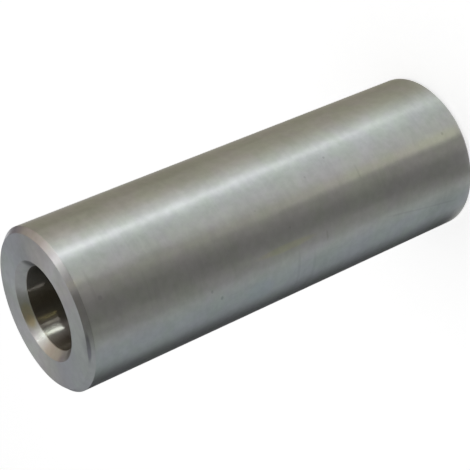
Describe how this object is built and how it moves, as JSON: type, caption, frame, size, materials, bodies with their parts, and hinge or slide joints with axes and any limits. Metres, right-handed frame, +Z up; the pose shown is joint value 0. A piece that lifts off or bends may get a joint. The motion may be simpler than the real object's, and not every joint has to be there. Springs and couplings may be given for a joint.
{
  "type": "centering bushing",
  "caption": "Thick-walled plain steel sleeve with a through bore and chamfered ends, which centres a pin or bolt in a larger bored hole.",
  "frame": {"origin": "centre of the end face that the bushing stands on, on the axis of the bore", "axes": "+Z up the bore, from the end it stands on to the end that the picture shows; the part is round, so +X and +Y are any square pair across it"},
  "size_m": [0.05, 0.05, 0.143],
  "materials": {
    "turned_steel": "bare steel, finely turned, satin, with light oil film and a few dark marks from handling"
  },
  "bodies": {
    "root": {"sleeve": "turned_steel"}
  },
  "joints": []
}
